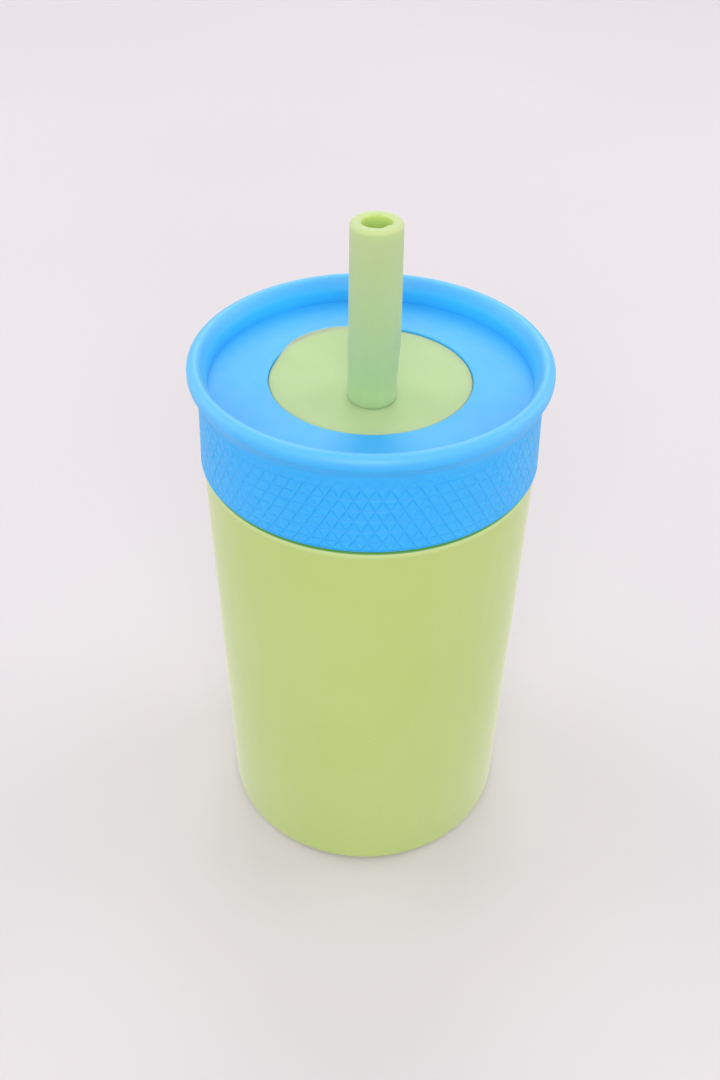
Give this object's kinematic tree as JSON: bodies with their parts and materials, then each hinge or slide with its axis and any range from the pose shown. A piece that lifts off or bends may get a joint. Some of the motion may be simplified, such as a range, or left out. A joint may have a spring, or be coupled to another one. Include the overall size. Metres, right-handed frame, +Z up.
{
  "type": "insulated tumbler with lid",
  "caption": "Double-walled steel drinking tumbler with a screw-on lid and a soft push-in insert that carries the drinking spout and a straw; it holds cold drinks.",
  "frame": {"origin": "centre of the base, on the surface the tumbler stands on", "axes": "+Z up along the cup's axis; -Y towards the side of the lid where the off-centre spout stands"},
  "size_m": [0.0814, 0.0814, 0.1679],
  "materials": {
    "powder_coat": "matte powder coat, light green",
    "steel": "brushed stainless steel",
    "seal_glass": "fused sealing glass",
    "lid_plastic": "satin moulded polypropylene, sky blue, with a triangle-lattice grip band",
    "gasket_silicone": "milky silicone",
    "insert_silicone": "matte translucent silicone, light green",
    "straw_plastic": "frosted translucent plastic"
  },
  "bodies": {
    "cup": {"outer_shell": "powder_coat", "inner_liner": "steel", "base_plate": "steel", "vacuum_seal": "seal_glass", "base_cover": "steel", "getter": "steel"},
    "seal": {"lid_gasket": "gasket_silicone"},
    "lid": {"lid_shell": "lid_plastic"},
    "straw": {"straw_insert": "insert_silicone", "lower_straw": "straw_plastic"}
  },
  "joints": [
    {"name": "lid_lift", "type": "slide", "parent": "cup", "child": "seal", "axis": [0, 0, 1], "range_m": [0, 0.1325]},
    {"name": "lid_turn", "type": "hinge", "parent": "seal", "child": "lid", "pos_m": [0, 0, 0.1277], "axis": [0, 0, 1], "range_deg": [0, 3960]},
    {"name": "straw_pull", "type": "slide", "parent": "lid", "child": "straw", "axis": [0, 0, 1], "range_m": [0, 0.13]}
  ],
  "couplings": [
    {"joint": "lid_lift", "follows": "lid_turn", "m_per_rad": 0.0019099}
  ]
}
